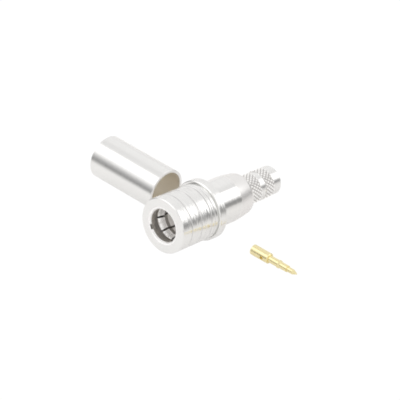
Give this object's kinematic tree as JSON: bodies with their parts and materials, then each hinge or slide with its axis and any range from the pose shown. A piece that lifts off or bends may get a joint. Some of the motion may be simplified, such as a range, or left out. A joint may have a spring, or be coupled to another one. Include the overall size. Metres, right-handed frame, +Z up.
{
  "type": "coaxial plug kit",
  "caption": "Quick-lock coaxial cable plug with a sliding, turning coupling sleeve, slotted latch fingers and a knurled crimp stem, beside its loose crimp ferrule and gold centre contact",
  "frame": {"origin": "centre of the set's bounding box, on the plane that it lies on", "axes": "Z up. The plug lies nose up with its axis in the YZ plane, its mouth towards -Y and its stem towards +Y. The ferrule lies on the -X side and the centre contact on the +X side"},
  "size_m": [0.0441, 0.0278, 0.0119],
  "materials": {
    "silver_plate": "bright white-bronze plating on turned brass",
    "gold_plate": "bright gold plating",
    "white_plastic": "turned white fluoroplastic",
    "spring_steel": "bare spring steel"
  },
  "bodies": {
    "plug_body": {"body_shell": "silver_plate", "crimp_stem": "silver_plate", "latch_collet": "silver_plate", "outer_contact": "silver_plate", "insulator": "white_plastic", "crimp_ferrule": "silver_plate", "centre_contact": "gold_plate"},
    "spring_and_ring": {"return_spring": "spring_steel", "stop_ring": "spring_steel"},
    "sleeve": {"coupling_sleeve": "silver_plate"}
  },
  "joints": [
    {"name": "sleeve_turn", "type": "hinge", "parent": "plug_body", "child": "spring_and_ring", "pos_m": [0.00209, -0.00421, 0.00551], "axis": [0, 0.9862, -0.1654], "continuous": true},
    {"name": "sleeve_slide", "type": "slide", "parent": "spring_and_ring", "child": "sleeve", "axis": [0, 0.9862, -0.1654], "range_m": [0, 0.0012], "stiffness_N_per_m": 500, "springref_m": -0.004, "deforming": ["return_spring"]}
  ]
}
